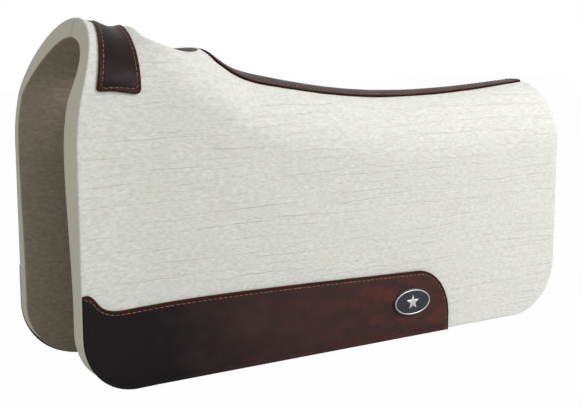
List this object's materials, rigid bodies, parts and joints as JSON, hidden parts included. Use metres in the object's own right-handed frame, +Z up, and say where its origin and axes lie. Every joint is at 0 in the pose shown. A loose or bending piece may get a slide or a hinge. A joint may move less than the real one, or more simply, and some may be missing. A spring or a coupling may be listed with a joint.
{
  "type": "saddle pad",
  "caption": "Contoured felt saddle pad in two halves with a wither vent, leather strap over the withers, leather spine strip and stitched wear leathers with oval badges.",
  "frame": {"origin": "on the surface the pad stands on, under the middle of its length and on the spine plane", "axes": "+X along the spine from the withers to the rear, +Y to the horse's right side, +Z up"},
  "size_m": [0.787, 0.215, 0.4538],
  "materials": {
    "felt": "pressed wool felt, matte",
    "wear_leather": "oiled leather, satin",
    "strap_leather": "oiled leather, satin",
    "thread": "waxed thread",
    "seam_thread": "plain thread",
    "badge_enamel": "gloss black",
    "badge_metal": "polished",
    "rivet_steel": "plain"
  },
  "bodies": {
    "topline": {"spine_strip": "strap_leather", "wither_strap": "strap_leather", "spine_strip_thread": "thread", "wither_strap_thread": "thread", "seam_thread_front": "seam_thread", "seam_thread_rear": "seam_thread"},
    "left_side": {"felt_left": "felt", "wear_leather_left": "wear_leather", "wear_leather_thread_left": "thread", "badge_plate_left": "badge_enamel", "badge_rim_left": "badge_metal", "badge_star_left": "badge_metal", "badge_rivets_left": "rivet_steel"},
    "right_side": {"felt_right": "felt", "wear_leather_right": "wear_leather", "wear_leather_thread_right": "thread", "badge_plate_right": "badge_enamel", "badge_rim_right": "badge_metal", "badge_star_right": "badge_metal", "badge_rivets_right": "rivet_steel"}
  },
  "joints": [
    {"name": "left_spread", "type": "hinge", "parent": "topline", "child": "left_side", "pos_m": [-0.3485, 0, 0.4525], "axis": [-0.9917, 0, 0.1283], "range_deg": [0, 25], "stiffness_Nm_per_rad": 20, "deforming": ["spine_strip", "wither_strap", "spine_strip_thread", "wither_strap_thread", "seam_thread_front", "seam_thread_rear"]},
    {"name": "right_spread", "type": "hinge", "parent": "topline", "child": "right_side", "pos_m": [-0.3485, 0, 0.4525], "axis": [0.9917, 0, -0.1283], "range_deg": [0, 25], "stiffness_Nm_per_rad": 20, "deforming": ["spine_strip", "wither_strap", "spine_strip_thread", "wither_strap_thread", "seam_thread_front", "seam_thread_rear"]}
  ]
}
